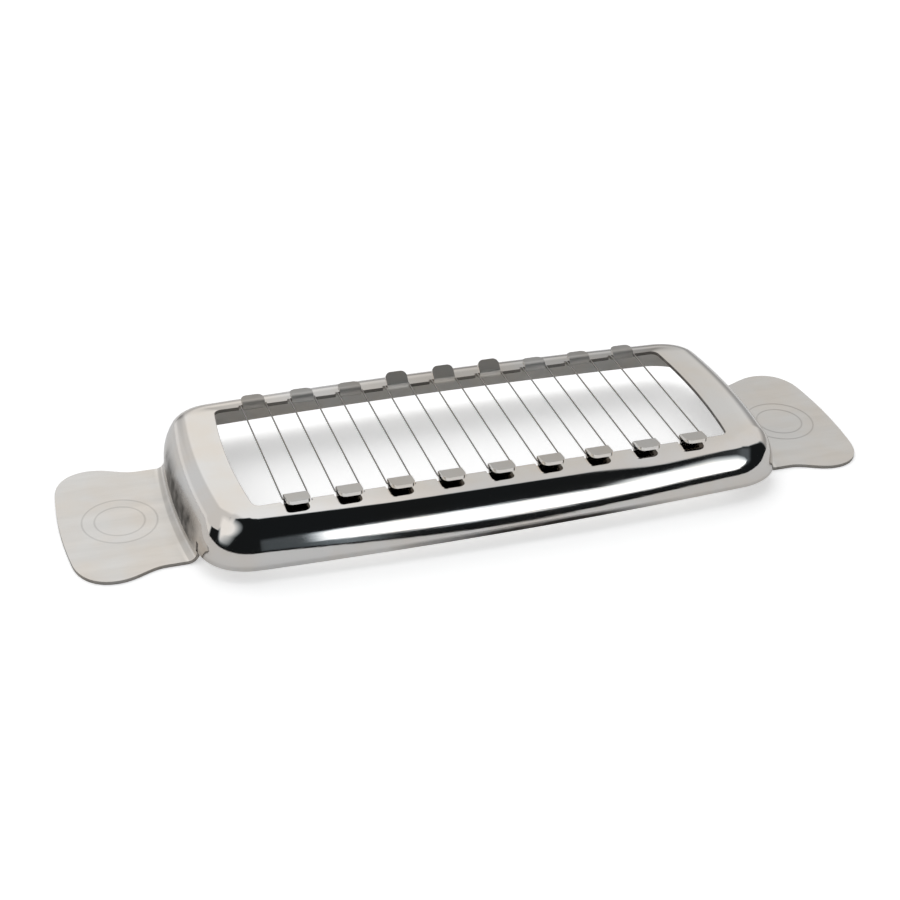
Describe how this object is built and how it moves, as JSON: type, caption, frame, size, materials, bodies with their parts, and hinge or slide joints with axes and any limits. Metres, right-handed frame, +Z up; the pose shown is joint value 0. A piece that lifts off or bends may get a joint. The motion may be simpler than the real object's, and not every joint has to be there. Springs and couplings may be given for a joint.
{
  "type": "egg slicer",
  "caption": "Pressed steel egg slicer: shallow open frame with a short skirt, grip tongues at both ends and thin cutting wires strung between folded hooks.",
  "frame": {"origin": "centre of the rest plane under the window", "axes": "+X along the length from tongue to tongue, +Y across the depth towards the side with the lifted hooks, +Z up out of the top face"},
  "size_m": [0.212, 0.0678, 0.0186],
  "materials": {
    "frame_steel": "polished stainless sheet, mirror-bright on the rolled edges",
    "wire_steel": "bright drawn wire"
  },
  "bodies": {
    "root": {"frame": "frame_steel", "wire_1": "wire_steel", "wire_2": "wire_steel", "wire_3": "wire_steel", "wire_4": "wire_steel", "wire_5": "wire_steel", "wire_6": "wire_steel", "wire_7": "wire_steel", "wire_8": "wire_steel", "wire_9": "wire_steel"}
  },
  "joints": []
}
